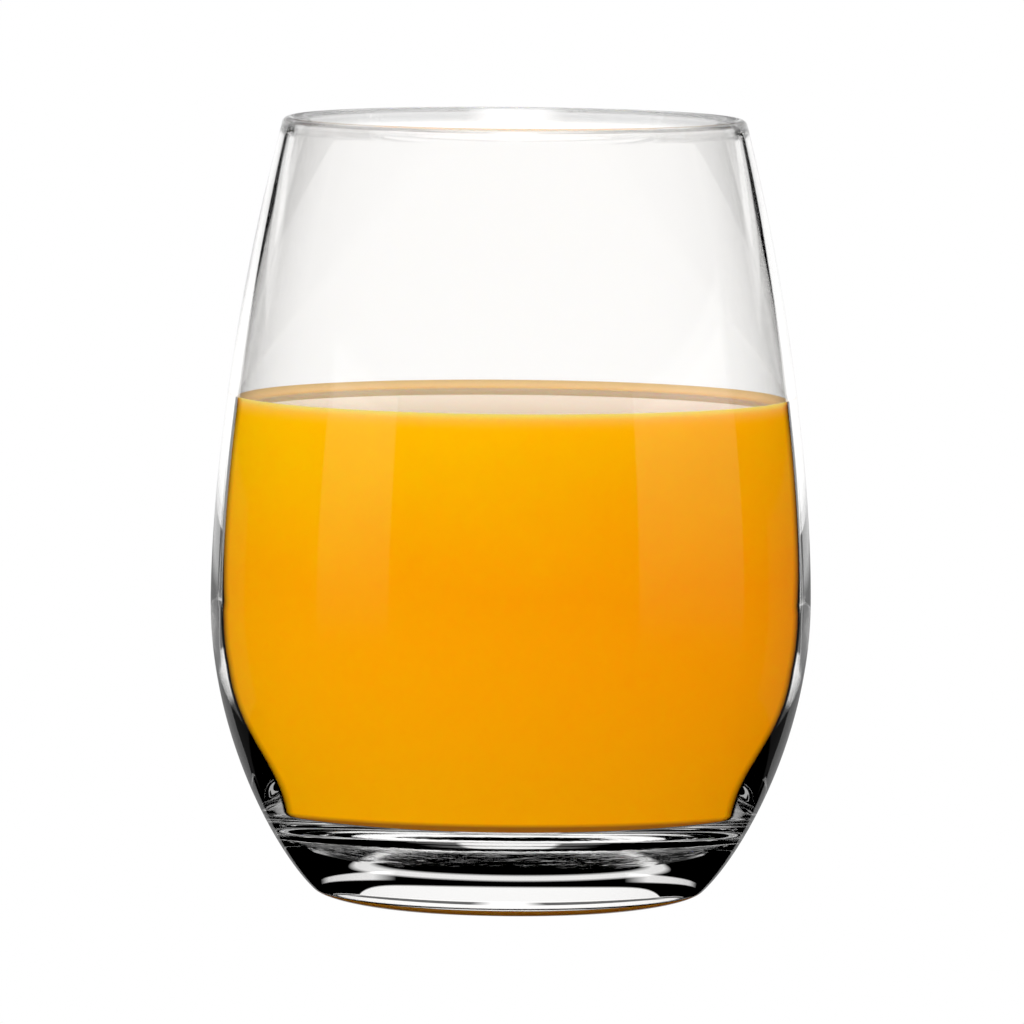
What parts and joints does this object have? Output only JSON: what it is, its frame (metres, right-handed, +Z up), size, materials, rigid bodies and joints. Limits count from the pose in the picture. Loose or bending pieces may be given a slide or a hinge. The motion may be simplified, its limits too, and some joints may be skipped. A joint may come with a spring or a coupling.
{
  "type": "glass of orange juice",
  "caption": "Stemless tumbler with a rounded belly, a narrow rim and a thick base, a little over half full of orange juice.",
  "frame": {"origin": "centre of the underside, level with the ring that the glass stands on", "axes": "+Z up along the axis of the glass, which is round, so +X and +Y are any two directions across it; -Y faces the camera"},
  "size_m": [0.0842, 0.084, 0.11],
  "materials": {
    "glass": "clear, colourless, polished soda-lime glass",
    "juice": "opaque orange juice, wet and glossy on its open surface"
  },
  "bodies": {
    "root": {"glass": "glass", "juice": "juice"}
  },
  "joints": []
}
